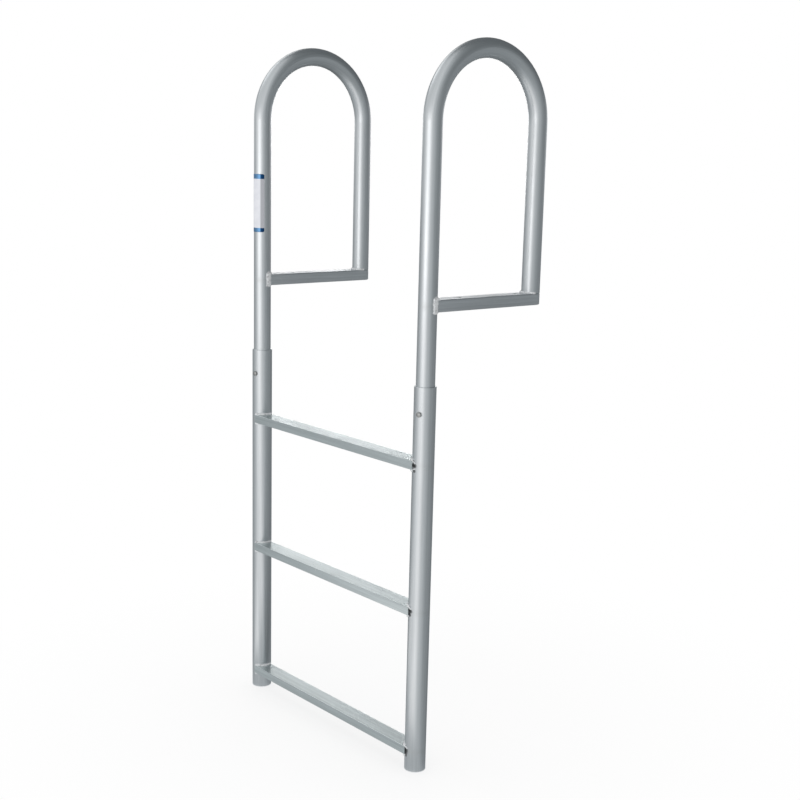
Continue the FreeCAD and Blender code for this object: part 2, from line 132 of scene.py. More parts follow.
def make_camera():
    """Camera with the photograph's lens, shifted so that the fitted centre lies at its pixel."""
    camera = bpy.data.objects.new("camera", bpy.data.cameras.new("camera"))
    bpy.context.scene.collection.objects.link(camera)
    right, up, back = camera_axes()
    camera.matrix_world = Matrix.Translation(CAMERA_PLACE) @ Matrix((right, up, back)).transposed().to_4x4()
    camera.data.sensor_width = SENSOR
    camera.data.lens = CAMERA_FOCUS / PHOTO_SIZE * SENSOR
    camera.data.shift_x = (PHOTO_SIZE / 2 - CAMERA_CENTRE[0]) / PHOTO_SIZE
    camera.data.shift_y = (CAMERA_CENTRE[1] - PHOTO_SIZE / 2) / PHOTO_SIZE
    camera.data.clip_end = CAMERA_REACH
    bpy.context.scene.camera = camera


# Node helpers


def feed(tree, socket, value):
    """Link a socket to the input, or set the input to a plain value."""
    if isinstance(value, bpy.types.NodeSocket):
        tree.links.new(value, socket)
    else:
        socket.default_value = value


def node(tree, kind, inputs=None, **settings):
    """Node with its settings; inputs by name or number hold values or the sockets that feed them."""
    made = tree.nodes.new("ShaderNode" + kind)
    for name, value in settings.items():
        setattr(made, name, value)
    for name, value in (inputs or {}).items():
        feed(tree, made.inputs[name], value)
    return made


def calc(tree, operation, *values, clamp=False):
    """Result of a maths node."""
    return node(tree, "Math", dict(enumerate(values)), operation=operation, use_clamp=clamp).outputs[0]


def times(tree, first, second):
    """Product of two inputs."""
    return calc(tree, "MULTIPLY", first, second)


def plus(tree, first, second, clamp=False):
    """Sum of two inputs."""
    return calc(tree, "ADD", first, second, clamp=clamp)


def minus(tree, first, second, clamp=False):
    """The first input less the second."""
    return calc(tree, "SUBTRACT", first, second, clamp=clamp)


def remap(tree, value, low, high, new_low=0.0, new_high=1.0):
    """Clamped linear map of a value from low..high to new_low..new_high."""
    made = node(tree, "MapRange", {"Value": value, "From Min": low, "From Max": high, "To Min": new_low,
                                   "To Max": new_high})
    return made.outputs["Result"]


def mix_colour(tree, share, first, second):
    """The first colour at share nought, the second at one."""
    made = node(tree, "Mix", data_type="RGBA")
    for socket, value in zip((made.inputs[0], made.inputs[6], made.inputs[7]), (share, first, second)):
        feed(tree, socket, value)
    return made.outputs[2]


def noise(tree, vector, scale, detail=3.0, rough=0.55):
    """Fractal noise, nought to one."""
    made = node(tree, "TexNoise", {"Vector": vector, "Scale": scale, "Detail": detail, "Roughness": rough})
    return made.outputs["Fac"]


def vector_calc(tree, operation, *values):
    """Vector that a vector maths node gives."""
    return node(tree, "VectorMath", dict(enumerate(values)), operation=operation).outputs[0]


def effect(name, inputs, outputs):
    """Empty shader node group with named sockets; a tuple makes a vector socket, a number a float one."""
    tree = bpy.data.node_groups.new(name, "ShaderNodeTree")
    for label, default in inputs.items():
        kind = "NodeSocketVector" if isinstance(default, tuple) else "NodeSocketFloat"
        socket = tree.interface.new_socket(name=label, in_out="INPUT", socket_type=kind)
        if not isinstance(default, tuple):
            socket.default_value = default
    for label, kind in outputs.items():
        tree.interface.new_socket(name=label, in_out="OUTPUT", socket_type=kind)
    return tree, tree.nodes.new("NodeGroupInput"), tree.nodes.new("NodeGroupOutput")


def use(tree, group, **inputs):
    """The group placed in a material, with its inputs."""
    made = tree.nodes.new("ShaderNodeGroup")
    made.node_tree = group
    for name, value in inputs.items():
        feed(tree, made.inputs[name], value)
    return made


# Effects that several finishes share


# Noises are in cells per metre, all ways or for each axis; a span is the values that become nought and one.
NOISE_SPAN = (0.3, 0.7)
FINE_LINES = (1600.0, 1600.0, 14.0)
BROAD_LINES = (230.0, 230.0, 3.0)
FINE_SHARE = 0.6
CLOUD_NOISE = (14.0, 14.0, 6.0)
# Scuffs run two ways, each a turn in radians and a noise, and show only in patches.
SCUFF_WAYS = (((0.5, 0.3, 0.9), (260.0, 40.0, 40.0)), ((1.1, 0.7, 0.2), (50.0, 300.0, 30.0)))
SCUFF_SPAN = (0.70, 0.76)
SCUFF_PATCHES = 22.0
SCUFF_PATCH_SPAN = (0.5, 0.62)
HEAT_NOISE = 180.0
HEAT_REACH = 20.0 * MM
# Spots of painted shade, partly weld soot: the noise of their edge, how ragged it is, and the span that fades
# it.
SOOT_SHADE_NOISE = 420.0
SOOT_SHADE_RAGGED = 0.6
SOOT_SHADE_SPAN = (0.75, 1.3)


def make_hoop_path():
    """Position in a hoop's own terms: across, out from the bend's centre line, and along the tube."""
    tree, given, out = effect("hoop_path", {"Position": (0, 0, 0)}, {"Path": "NodeSocketVector"})
    parts = node(tree, "SeparateXYZ", {0: given.outputs["Position"]})
    forward = minus(tree, parts.outputs["Y"], bend_centre[0])
    height = minus(tree, parts.outputs["Z"], bend_centre[1])
    bent = calc(tree, "GREATER_THAN", height, 0.0)
    behind = calc(tree, "GREATER_THAN", forward, 0.0)
    turned = calc(tree, "ARCTAN2", height, times(tree, forward, -1.0))
    on_bend = times(tree, turned, bend_radius)
    past_bend = minus(tree, math.pi * bend_radius, height)
    on_leg = plus(tree, times(tree, height, minus(tree, 1.0, behind)), times(tree, past_bend, behind))
    along = plus(tree, times(tree, on_bend, bent), times(tree, on_leg, minus(tree, 1.0, bent)))
    upright = times(tree, height, bent)
    reach = calc(tree, "SQRT", plus(tree, times(tree, forward, forward), times(tree, upright, upright)))
    path = node(tree, "CombineXYZ", {0: parts.outputs["X"], 1: reach, 2: along})
    tree.links.new(path.outputs[0], out.inputs["Path"])
    return tree


def make_drawn_grain():
    """Fine lines along the metal's third axis, left by the die: streaks, and a height for a bump."""
    tree, given, out = effect("drawn_grain", {"Position": (0, 0, 0), "Fineness": 1.0},
                              {"Streaks": "NodeSocketFloat", "Height": "NodeSocketFloat"})
    scaled = node(tree, "VectorMath", {0: given.outputs["Position"], "Scale": given.outputs["Fineness"]},
                  operation="SCALE").outputs[0]
    fine = noise(tree, vector_calc(tree, "MULTIPLY", scaled, FINE_LINES), 1.0, detail=4.0, rough=0.6)
    broad = noise(tree, vector_calc(tree, "MULTIPLY", scaled, BROAD_LINES), 1.0, detail=2.0, rough=0.5)
    streaks = plus(tree, times(tree, fine, FINE_SHARE), times(tree, broad, 1 - FINE_SHARE))
    tree.links.new(streaks, out.inputs["Streaks"])
    tree.links.new(fine, out.inputs["Height"])
    return tree


def make_handling():
    """Marks of use: soft clouds of oxide, and sparse short scuffs."""
    tree, given, out = effect("handling", {"Position": (0, 0, 0), "Scuffing": 1.0},
                              {"Clouds": "NodeSocketFloat", "Scuffs": "NodeSocketFloat"})
    place = given.outputs["Position"]
    clouds = noise(tree, vector_calc(tree, "MULTIPLY", place, CLOUD_NOISE), 1.0, detail=5.0, rough=0.6)
    tree.links.new(remap(tree, clouds, *NOISE_SPAN), out.inputs["Clouds"])
    ways = []
    for turn, stretch in SCUFF_WAYS:
        turned = node(tree, "Mapping", {"Vector": place, "Rotation": turn}).outputs[0]
        lines = noise(tree, vector_calc(tree, "MULTIPLY", turned, stretch), 1.0, detail=2.0, rough=0.5)
        ways.append(remap(tree, lines, *SCUFF_SPAN))
    patches = remap(tree, noise(tree, place, SCUFF_PATCHES, detail=2.0, rough=0.5), *SCUFF_PATCH_SPAN)
    scuffs = times(tree, calc(tree, "MAXIMUM", *ways), patches)
    tree.links.new(times(tree, scuffs, given.outputs["Scuffing"]), out.inputs["Scuffs"])
    return tree


def make_weld_heat():
    """Share of dull, slightly warm metal that a weld leaves: one at the given height, none past reach."""
    tree, given, out = effect("weld_heat", {"Position": (0, 0, 0), "Height": 0.0, "Reach": HEAT_REACH},
                              {"Heat": "NodeSocketFloat"})
    parts = node(tree, "SeparateXYZ", {0: given.outputs["Position"]})
    away = calc(tree, "ABSOLUTE", minus(tree, parts.outputs["Z"], given.outputs["Height"]))
    ragged = times(tree, noise(tree, given.outputs["Position"], HEAT_NOISE), given.outputs["Reach"])
    near = calc(tree, "DIVIDE", plus(tree, away, ragged), given.outputs["Reach"])
    tree.links.new(minus(tree, 1.0, near, clamp=True), out.inputs["Heat"])
    return tree


def make_soot_and_shade():
    """Painted shade, partly weld soot: one in the middle of an oval spot of given half sizes, none past its
    ragged edge.
    """
    tree, given, out = effect("soot_and_shade", {"Position": (0, 0, 0), "Centre": (0, 0, 0), "Size": (1, 1, 1)},
                              {"SootAndShade": "NodeSocketFloat"})
    away = vector_calc(tree, "SUBTRACT", given.outputs["Position"], given.outputs["Centre"])
    scaled = vector_calc(tree, "DIVIDE", away, given.outputs["Size"])
    reach = node(tree, "VectorMath", {0: scaled}, operation="LENGTH").outputs["Value"]
    ragged = plus(tree, reach, times(tree, noise(tree, given.outputs["Position"], SOOT_SHADE_NOISE), SOOT_SHADE_RAGGED))
    tree.links.new(remap(tree, ragged, *SOOT_SHADE_SPAN, 1.0, 0.0), out.inputs["SootAndShade"])
    return tree


hoop_path = make_hoop_path()
soot_and_shade = make_soot_and_shade()
drawn_grain = make_drawn_grain()
handling = make_handling()
weld_heat = make_weld_heat()


# Finishes


# Colours are linear. A share is how strongly an effect mixes in, ROUGH what it adds to the roughness, and a
# bump its strength and height.
STREAK_SPAN = (0.35, 0.65)
RIPPLE_SPAN = (0.35, 0.7)
TUBE_COLOUR = (0.745, 0.765, 0.78, 1)
TUBE_DULL = 0.88
TUBE_BRIGHT = 1.06
TUBE_ROUGHNESS = 0.27
TUBE_STREAK_ROUGH = 0.08
TUBE_CLOUD_SHARE = 0.35
TUBE_CLOUD_ROUGH = 0.06
TUBE_SCUFFING = 0.6
TUBE_SCUFF_ROUGH = 0.12
TUBE_BUMP = (0.12, 0.06 * MM)
HEAT_COLOUR = (0.55, 0.55, 0.53, 1)
HEAT_SHARE = 0.35
HEAT_ROUGH = 0.12
# Colour and added roughness of the spots of painted shade, partly weld soot.
SOOT_SHADE_COLOUR = (0.035, 0.035, 0.035, 1)
SOOT_SHADE_ROUGH = 0.25
MILL_DULL = 0.74
MILL_FINENESS = 0.8
MILL_STREAK_ROUGH = 0.1
MILL_CLOUD_SHARE = 0.4
MILL_CLOUD_ROUGH = 0.08
MILL_SCUFF_COLOUR = (0.86, 0.87, 0.87, 1)
MILL_BUMP = (0.06, 0.04 * MM)
WELD_GRAINS = 900.0
WELD_COLOURS = ((0.76, 0.77, 0.78, 1), (0.92, 0.93, 0.94, 1))
WELD_HOLLOWS = 160.0
WELD_HOLLOW_SPAN = (0.5, 0.7)
WELD_HOLLOW_COLOUR = (0.30, 0.30, 0.30, 1)
WELD_HOLLOW_SHARE = 0.6
WELD_METALLIC = 0.5
WELD_ROUGHNESS = 0.32
WELD_GRAIN_ROUGH = 0.2
WELD_BUMP = (0.35, 0.3 * MM)
STEEL_BRUSHING = (700.0, 120.0, 700.0)
STEEL_COLOURS = ((0.33, 0.33, 0.325, 1), (0.47, 0.47, 0.46, 1))
STEEL_STAINS = 420.0
STEEL_STAIN_SPAN = (0.62, 0.74)
STEEL_STAIN_COLOUR = (0.30, 0.26, 0.22, 1)
STEEL_STAIN_SHARE = 0.4
STEEL_ROUGHNESS = (0.3, 0.42)
STEEL_BUMP = (0.1, 0.05 * MM)
LABEL_FILM = 60.0
LABEL_WHITES = ((0.72, 0.735, 0.785, 1), (0.80, 0.81, 0.85, 1))
LABEL_BLUES = ((0.145, 0.31, 0.54, 1), (0.18, 0.36, 0.60, 1))
LABEL_PRINT_SHADE_GREY = (0.40, 0.41, 0.44, 1)
LABEL_PRINT_SHADE_NAVY = (0.012, 0.060, 0.16, 1)
LABEL_ROUGHNESS = (0.28, 0.4)
LABEL_BUMP = (0.08, 0.4 * MM)


def new_finish(name):
    """Material with its Principled shader, its node tree and the piece's own position."""
    material = bpy.data.materials.new(name)
    material.use_nodes = True
    tree = material.node_tree
    position = tree.nodes.new("ShaderNodeTexCoord").outputs["Object"]
    return material, tree, tree.nodes["Principled BSDF"], position


def finish_with(tree, shader, base, rough, metallic, height, bump):
    """Feed a shader its colour, roughness and metal, and a bump that follows a height."""
    for name, value in (("Base Color", base), ("Roughness", rough), ("Metallic", metallic)):
        feed(tree, shader.inputs[name], value)
    strength, distance = bump
    bumped = node(tree, "Bump", {"Height": height, "Strength": strength, "Distance": distance})
    tree.links.new(bumped.outputs["Normal"], shader.inputs["Normal"])


def scaled_colour(colour, factor):
    """Opaque colour times a factor, no part of it over one."""
    return tuple(min(1, part * factor) for part in colour[:3]) + (1,)


def tube_metal(name, path_group=None, heats=(), soot_and_shade_spots=()):
    """Satin drawn aluminium: colour and roughness vary with grain, clouds, scuffs, weld heat and painted
    shade with soot.
    """
    material, tree, shader, position = new_finish(name)
    along = use(tree, path_group, Position=position).outputs["Path"] if path_group else position
    grain = use(tree, drawn_grain, Position=along, Fineness=1.0)
    marks = use(tree, handling, Position=along, Scuffing=TUBE_SCUFFING)
    streaks, clouds, scuffs = grain.outputs["Streaks"], marks.outputs["Clouds"], marks.outputs["Scuffs"]
    dull, bright = scaled_colour(TUBE_COLOUR, TUBE_DULL), scaled_colour(TUBE_COLOUR, TUBE_BRIGHT)
    base = mix_colour(tree, remap(tree, streaks, *STREAK_SPAN), dull, bright)
    base = mix_colour(tree, times(tree, clouds, TUBE_CLOUD_SHARE), base, dull)
    rough = plus(tree, TUBE_ROUGHNESS, times(tree, streaks, TUBE_STREAK_ROUGH))
    rough = plus(tree, rough, times(tree, clouds, TUBE_CLOUD_ROUGH))
    for height in heats:
        heat = use(tree, weld_heat, Position=position, Height=height, Reach=HEAT_REACH).outputs["Heat"]
        base = mix_colour(tree, times(tree, heat, HEAT_SHARE), base, HEAT_COLOUR)
        rough = plus(tree, rough, times(tree, heat, HEAT_ROUGH))
    # Painted shade: dark spots beside the tread ends, partly weld soot, and round the handle screws.
    for spot, size, depth in soot_and_shade_spots:
        soot_shade = use(tree, soot_and_shade, Position=position, Centre=spot, Size=size).outputs["SootAndShade"]
        base = mix_colour(tree, times(tree, soot_shade, depth), base, SOOT_SHADE_COLOUR)
        rough = plus(tree, rough, times(tree, soot_shade, SOOT_SHADE_ROUGH))
    base = mix_colour(tree, scuffs, base, bright)
    rough = plus(tree, rough, times(tree, scuffs, TUBE_SCUFF_ROUGH), clamp=True)
    finish_with(tree, shader, base, rough, 1.0, grain.outputs["Height"], TUBE_BUMP)
    return material


def mill_metal(name, colour, roughness, turn):
    """Mill-finish extrusion: grain along its length, set by the turn that brings that length to Z."""
    material, tree, shader, position = new_finish(name)
    turned = node(tree, "Mapping", {"Vector": position, "Rotation": turn}).outputs[0]
    grain = use(tree, drawn_grain, Position=turned, Fineness=MILL_FINENESS)
    marks = use(tree, handling, Position=turned, Scuffing=1.0)
    streaks, clouds = grain.outputs["Streaks"], marks.outputs["Clouds"]
    dull = scaled_colour(colour, MILL_DULL)
    base = mix_colour(tree, remap(tree, streaks, *STREAK_SPAN), dull, colour)
    base = mix_colour(tree, times(tree, clouds, MILL_CLOUD_SHARE), base, dull)
    base = mix_colour(tree, marks.outputs["Scuffs"], base, MILL_SCUFF_COLOUR)
    rough = plus(tree, roughness, times(tree, streaks, MILL_STREAK_ROUGH))
    rough = plus(tree, rough, times(tree, clouds, MILL_CLOUD_ROUGH), clamp=True)
    finish_with(tree, shader, base, rough, 1.0, grain.outputs["Height"], MILL_BUMP)
    return material


def weld_metal():
    """Bright as-laid bead with fine grain and a little smut in the hollows."""
    material, tree, shader, position = new_finish("weld_bead")
    grains = noise(tree, position, WELD_GRAINS, detail=4.0, rough=0.6)
    hollows = remap(tree, noise(tree, position, WELD_HOLLOWS, rough=0.5), *WELD_HOLLOW_SPAN)
    base = mix_colour(tree, remap(tree, grains, *RIPPLE_SPAN), *WELD_COLOURS)
    base = mix_colour(tree, times(tree, hollows, WELD_HOLLOW_SHARE), base, WELD_HOLLOW_COLOUR)
    rough = plus(tree, WELD_ROUGHNESS, times(tree, grains, WELD_GRAIN_ROUGH))
    finish_with(tree, shader, base, rough, WELD_METALLIC, grains, WELD_BUMP)
    return material


def stainless():
    """Turned stainless fastener with light brushing and a few specks of tea staining."""
    material, tree, shader, position = new_finish("stainless_fastener")
    brushing = noise(tree, vector_calc(tree, "MULTIPLY", position, STEEL_BRUSHING), 1.0, rough=0.5)
    stain = remap(tree, noise(tree, position, STEEL_STAINS, detail=2.0, rough=0.5), *STEEL_STAIN_SPAN)
    base = mix_colour(tree, brushing, *STEEL_COLOURS)
    base = mix_colour(tree, times(tree, stain, STEEL_STAIN_SHARE), base, STEEL_STAIN_COLOUR)
    rough = remap(tree, brushing, *NOISE_SPAN, *STEEL_ROUGHNESS)
    finish_with(tree, shader, base, rough, 1.0, brushing, STEEL_BUMP)
    return material


def label_vinyl(band_low, band_high, strip_start, strip_full):
    """Blank printed vinyl: white between bands of metallic blue ink; painted shade and print darken its +X
    side.
    """
    material, tree, shader, position = new_finish("label_vinyl")
    parts = node(tree, "SeparateXYZ", {0: position})
    height = parts.outputs["Z"]
    # Painted shade, with print, darkens the strip on the +X side, which is turned from the light.
    strip = remap(tree, parts.outputs["X"], strip_start, strip_full)
    band = calc(tree, "MAXIMUM", calc(tree, "GREATER_THAN", height, band_high),
                calc(tree, "LESS_THAN", height, band_low))
    film = noise(tree, position, LABEL_FILM, rough=0.5)
    ripples = remap(tree, film, *RIPPLE_SPAN)
    white = mix_colour(tree, strip, mix_colour(tree, ripples, *LABEL_WHITES), LABEL_PRINT_SHADE_GREY)
    blue = mix_colour(tree, strip, mix_colour(tree, ripples, *LABEL_BLUES), LABEL_PRINT_SHADE_NAVY)
    rough = remap(tree, film, *NOISE_SPAN, *LABEL_ROUGHNESS)
    finish_with(tree, shader, mix_colour(tree, band, white, blue), rough, band, film, LABEL_BUMP)
    return material


weld_finish = weld_metal()


# New surfaces


# Sizes are in metres and angles in radians, except where a comment says otherwise.
BEAD_RADIUS = 2.9 * MM
BEAD_OFFSET = 0.9 * MM
BEAD_PITCH = 2.4 * MM
BEAD_SIDES = 20
# A ripple's fall, the two slow sines (size, pace, start), how many radii an end takes to round off, and the
# square of the share of its radius that a bead keeps at its tip.
RIPPLE_FALL = 0.16
RIPPLE_WANDER = ((0.05, 1.7, 0.0), (0.07, 0.73, 1.0))
BEAD_END = 1.3
BEAD_TIP = 0.0004
# The bead round a bar's end: its step, the points of its corners' arcs, and what sets its flanks apart.
STEP = 0.35 * MM
ARC_POINTS = 12
FLANK_BEAD_RADIUS = 3.8 * MM
FLANK_BEAD_SUNK = 1.3 * MM
FLANK_BEAD_BROAD = 2.0
FLANK_BEAD_BELOW = 3.8 * MM
FLANK_CORNER = 3.0 * MM
FLANK_TURN = math.radians(15.0)
# The bead of a rear leg's foot, from and to a turn in degrees.
POST_BEAD_RADIUS = 2.5 * MM
POST_BEAD_TURNS = (-170.0, -10.0)
POST_BEAD_POINTS = 150
# A tread's beads: first turn and run in degrees, how far off they start and over what share they close in.
TREAD_BEAD_TURNS = (-76.0, 108.0)
TREAD_BEAD_LIFT = 1.4 * MM
TREAD_BEAD_LIFTED = 0.15
TREAD_BEAD_POINTS = 130
# The curl and the tie: start and run across, start and run down, how far out they start, radius, and for the
# curl how much thinner it ends.
CURL = (-9.5 * MM, 11.0 * MM, BEAD_OFFSET, -5.5 * MM, 3.0 * MM, 1.9 * MM, 0.35)
TIE = (-6.0 * MM, 9.0 * MM, -17.5 * MM, 2.5 * MM, 1.0 * MM, 1.1 * MM)
END_BEAD_POINTS = 60
# Spatter: first turn and run, each grain's step outwards as a share of the spread, the middle and swing of
# the sizes and the pace of their sine, how flat a grain is, how far off the bar's edges, and a grain's grid.
SPATTER_COUNT = 14
SPATTER_TURNS = (math.radians(25), math.radians(130))
SPATTER_STEP = 0.618
SPATTER_SPREAD = 9.0 * MM
SPATTER_RADIUS = 0.7 * MM
SPATTER_SIZES = (0.65, 0.35, 2.4)
SPATTER_FLATTENED = 0.7
SPATTER_EDGE = 2 * MM
SPATTER_GRID = (5, 10)
# The label: its rows in pixels of the photograph, and its painted shade strip's first and full turn from the
# front.
LABEL_ROWS = (173.9, 231.8)
LABEL_BAND_ROWS = (178.7, 227.7)
LABEL_REACH = math.radians(68.0)
LABEL_SHADE_STRIP = (math.radians(39.0), math.radians(47.0))
LABEL_LIFT = 0.25 * MM
LABEL_THICKNESS = 0.2 * MM
LABEL_CORNER = 3.0 * MM
LABEL_GRID = (91, 61)


def ease(value, start, full):
    """Nought up to start, one from full on, a cubic step between them."""
    share = np.clip((value - start) / (full - start), 0, 1)
    return share * share * (3 - 2 * share)


def smooth_piece(name, points, faces):
    """Smooth-shaded object with a mesh of the points and faces."""
    mesh = bpy.data.meshes.new(name)
    mesh.from_pydata(points.reshape(-1, 3).tolist(), [], faces)
    mesh.polygons.foreach_set("use_smooth", np.ones(len(mesh.polygons), dtype=bool))
    mesh.update()
    piece = bpy.data.objects.new(name, mesh)
    bpy.context.scene.collection.objects.link(piece)
    return piece


def grid_faces(rows, columns, closed):
    """Quads between neighbours of a grid of points, and from the last column to the first if it is closed."""
    along = np.arange(rows - 1)[:, None]
    across = np.arange(columns if closed else columns - 1)[None, :]
    beside = (across + 1) % columns
    return np.stack([along * columns + across, along * columns + beside,
                     (along + 1) * columns + beside, (along + 1) * columns + across], axis=-1).reshape(-1, 4)


def sheet_mesh(name, points, closed_across=False, caps=""):
    """Piece from a grid of points (rows along, columns across); closed rings may be capped first and last."""
    rows, columns = points.shape[:2]
    ends = {"first": list(range(columns))[::-1], "last": list(range((rows - 1) * columns, rows * columns))}
    faces = grid_faces(rows, columns, closed_across).tolist() + [ends[end] for end in caps.split()]
    return smooth_piece(name, points, faces)


def dress(piece, finish):
    """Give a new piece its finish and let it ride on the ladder."""
    piece.data.materials.append(finish)
    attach(piece, "root")


def bead_surface(line, outward, radius, broad):
    """Weld bead as rings of points along a line.

    Each ring is an ellipse across the line, broad times as wide as it is high; its radius swells and
    shrinks once per ripple, each ripple lopsided towards the next, wanders by two slow sines, and falls
    as a quarter round to nothing at both ends. Radius and broad may be one number or one for each point."""
    steps = np.linalg.norm(np.diff(line, axis=0), axis=1)
    run = np.concatenate([[0.0], np.cumsum(steps)])
    tangent = np.gradient(line, run, axis=0)
    tangent /= np.linalg.norm(tangent, axis=1, keepdims=True)
    normal = outward - (outward * tangent).sum(axis=1, keepdims=True) * tangent
    normal /= np.linalg.norm(normal, axis=1, keepdims=True)
    binormal = np.cross(tangent, normal)
    count = run / BEAD_PITCH
    ripple = 1.0 - RIPPLE_FALL * (count % 1.0) ** 2
    for swing, pace, start in RIPPLE_WANDER:
        ripple = ripple + swing * np.sin(pace * count + start)
    end = np.clip(np.minimum(run, run[-1] - run) / (BEAD_END * radius), 0, 1)
    size = radius * ripple * np.sqrt(np.clip(1 - (1 - end) ** 2, BEAD_TIP, 1))
    turn = np.linspace(0, 2 * np.pi, BEAD_SIDES, endpoint=False)
    sideways = binormal * np.broadcast_to(broad, run.shape)[:, None]
    ring = np.cos(turn)[None, :, None] * normal[:, None] + np.sin(turn)[None, :, None] * sideways[:, None]
    return line[:, None] + size[:, None, None] * ring


def round_post(x, y, angle, height, radius):
    """Points of an upright cylinder at angles (0 is +X, counter-clockwise) and heights, and the outward."""
    outward = np.stack([np.cos(angle), np.sin(angle), np.zeros_like(angle)], axis=1)
    upward = np.stack([0 * height, 0 * height, height], axis=1)
    return np.array([x, y, 0.0]) + radius * outward + upward, outward


def weld(name, line, outward, node_name, radius=BEAD_RADIUS, broad=1.0):
    """Bead along a line, in place of a weld node of the CAD."""
    points = bead_surface(line, outward, radius, broad)
    piece = sheet_mesh(name, points, closed_across=True, caps="first last")
    dress(piece, weld_finish)
    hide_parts(node_name)


def rounded_path(corners, radius, step):
    """Line through corner points in a plane, each corner replaced by a parabolic arc, sampled every step."""
    pieces = []
    last = np.array(corners[0], float)
    for k in range(1, len(corners) - 1):
        here, after = np.array(corners[k], float), np.array(corners[k + 1], float)
        into, out = (here - last) / np.linalg.norm(here - last), (after - here) / np.linalg.norm(after - here)
        start, stop = here - into * radius, here + out * radius
        count = max(2, int(np.linalg.norm(start - last) / step))
        pieces.append(last + (start - last) * np.linspace(0, 1, count, endpoint=False)[:, None])
        share = np.linspace(0, 1, ARC_POINTS, endpoint=False)[:, None]
        pieces.append((1 - share) ** 2 * start + 2 * share * (1 - share) * here + share ** 2 * stop)
        last = stop
    count = max(2, int(np.linalg.norm(after - last) / step))
    pieces.append(last + (after - last) * np.linspace(0, 1, count)[:, None])
    return np.concatenate(pieces)


def make_bar_weld(side):
    """Bead up the bar's side, round the handle on top of it and down again, fat and sunk at the sides."""
    radius = handle_radius + BEAD_OFFSET
    near, far = FLANK_TURN * radius, (math.pi - FLANK_TURN) * radius
    low, top = bar_low.z - FLANK_BEAD_BELOW, bar_high.z + BEAD_OFFSET
    flat = rounded_path([(near, low), (near, top), (far, top), (far, low)], FLANK_CORNER, STEP)
    inside = np.minimum(flat[:, 0], math.pi * radius - flat[:, 0]) - near
    fat = ease(-inside, -2 * FLANK_BEAD_RADIUS, 0.0)
    line, outward = round_post(side_x[side], leg_y, flat[:, 0] / radius, flat[:, 1],
                               (radius - FLANK_BEAD_SUNK * fat)[:, None])
    weld(side + "_bar_bead", line, outward, side + "_bar_weld",
         BEAD_RADIUS + (FLANK_BEAD_RADIUS - BEAD_RADIUS) * fat, 1 + (FLANK_BEAD_BROAD - 1) * fat)


def make_post_weld(side):
    """Bead round the front half of the rear leg's foot, on the bar."""
    angle = np.radians(np.linspace(*POST_BEAD_TURNS, POST_BEAD_POINTS))
    line, outward = round_post(side_x[side], post_y, angle, np.full_like(angle, bar_high.z + BEAD_OFFSET),
                               handle_radius + BEAD_OFFSET)
    weld(side + "_post_bead", line, outward, side + "_post_weld", POST_BEAD_RADIUS)


def make_tread_welds(side, tread):
    """Beads over and under a tread's end, from its front corner, where they stand off, round to its back."""
    low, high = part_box("tread_" + tread)
    inward = math.pi if side == "right" else 0.0
    share = np.linspace(0, 1, TREAD_BEAD_POINTS)
    first, run = TREAD_BEAD_TURNS
    angle = inward - SIDES[side] * np.radians(first + share * run)
    radius = leg_radius + BEAD_OFFSET + TREAD_BEAD_LIFT * np.clip(1 - share / TREAD_BEAD_LIFTED, 0, 1) ** 2
    for place, height in (("over", high.z + BEAD_OFFSET), ("under", low.z - BEAD_OFFSET)):
        line, outward = round_post(side_x[side], leg_y, angle, np.full_like(angle, height), radius[:, None])
        weld(f"{side}_{tread}_bead_{place}", line, outward, f"{side}_{tread}_tread_weld")


def make_end_beads(tread):
    """Where a tread's front wall ends on the right leg: a curl off the lip, and for the top one a thin tie.

    Both are lines on the leg's front, across and down from the tread's top; the curl bends as a quarter
    sine and starts as far out as the lip."""
    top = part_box("tread_" + tread)[1].z
    share = np.linspace(0, 1, END_BEAD_POINTS)
    across, run, down, fall, lift, radius, thinner = CURL
    beads = {"curl": (across + run * share, down + fall * (1 - np.cos(share * math.pi / 2)),
                      lift * (1 - share), radius * (1 - thinner * share))}
    if tread == "top":
        across, run, down, fall, lift, radius = TIE
        beads["tie"] = (across + run * share, down + fall * share, lift * (1 - share), radius + 0 * share)
    for name, (across, down, lift, radius) in beads.items():
        line, outward = round_post(side_x["right"], leg_y, -math.pi / 2 + across / leg_radius, top + down,
                                   (leg_radius + lift)[:, None])
        weld(f"right_{tread}_bead_{name}", line, outward, f"right_{tread}_tread_weld", radius)


def make_spatter(side):
    """Grains of spatter on the bar round the rear leg's foot.

    Each grain is a low dome, rings of a sphere's latitude. From grain to grain the turn steps by the golden
    angle, the distance from the leg by a fixed share of the spread, and the size along a sine."""
    count = np.arange(SPATTER_COUNT)
    first, run = SPATTER_TURNS
    turn = math.pi + first + (count * math.pi * (3 - math.sqrt(5))) % run
    away = handle_radius + POST_BEAD_RADIUS + SPATTER_SPREAD * ((count * SPATTER_STEP) % 1.0)
    mean, swing, pace = SPATTER_SIZES
    size = SPATTER_RADIUS * (mean + swing * np.sin(pace * count))
    x, y = side_x[side] + away * np.cos(turn), post_y + away * np.sin(turn)
    kept = np.abs(x - side_x[side]) < bar_half - SPATTER_EDGE
    x, y, size = x[kept], y[kept], size[kept]
    latitudes, longitudes = SPATTER_GRID
    latitude, longitude = np.meshgrid(np.linspace(0, math.pi / 2, latitudes)[1:],
                                      np.linspace(0, 2 * np.pi, longitudes)[:-1], indexing="ij")
    dome = np.stack([np.sin(latitude) * np.cos(longitude), np.sin(latitude) * np.sin(longitude),
                     SPATTER_FLATTENED * np.cos(latitude)], axis=-1)
    middles = np.stack([x, y, np.full_like(x, bar_high.z)], axis=-1)
    points = middles[:, None, None] + size[:, None, None, None] * dome
    rings, ring = dome.shape[:2]
    quads = np.roll(grid_faces(rings, ring, closed=True)[:, ::-1], 1, axis=1)
    start = np.arange(len(x)) * rings * ring
    faces = (start[:, None, None] + quads[None]).reshape(-1, 4).tolist()
    tops = (start[:, None] + np.arange(ring)[None]).tolist()
    dress(smooth_piece(side + "_spatter", points, faces + tops), weld_finish)


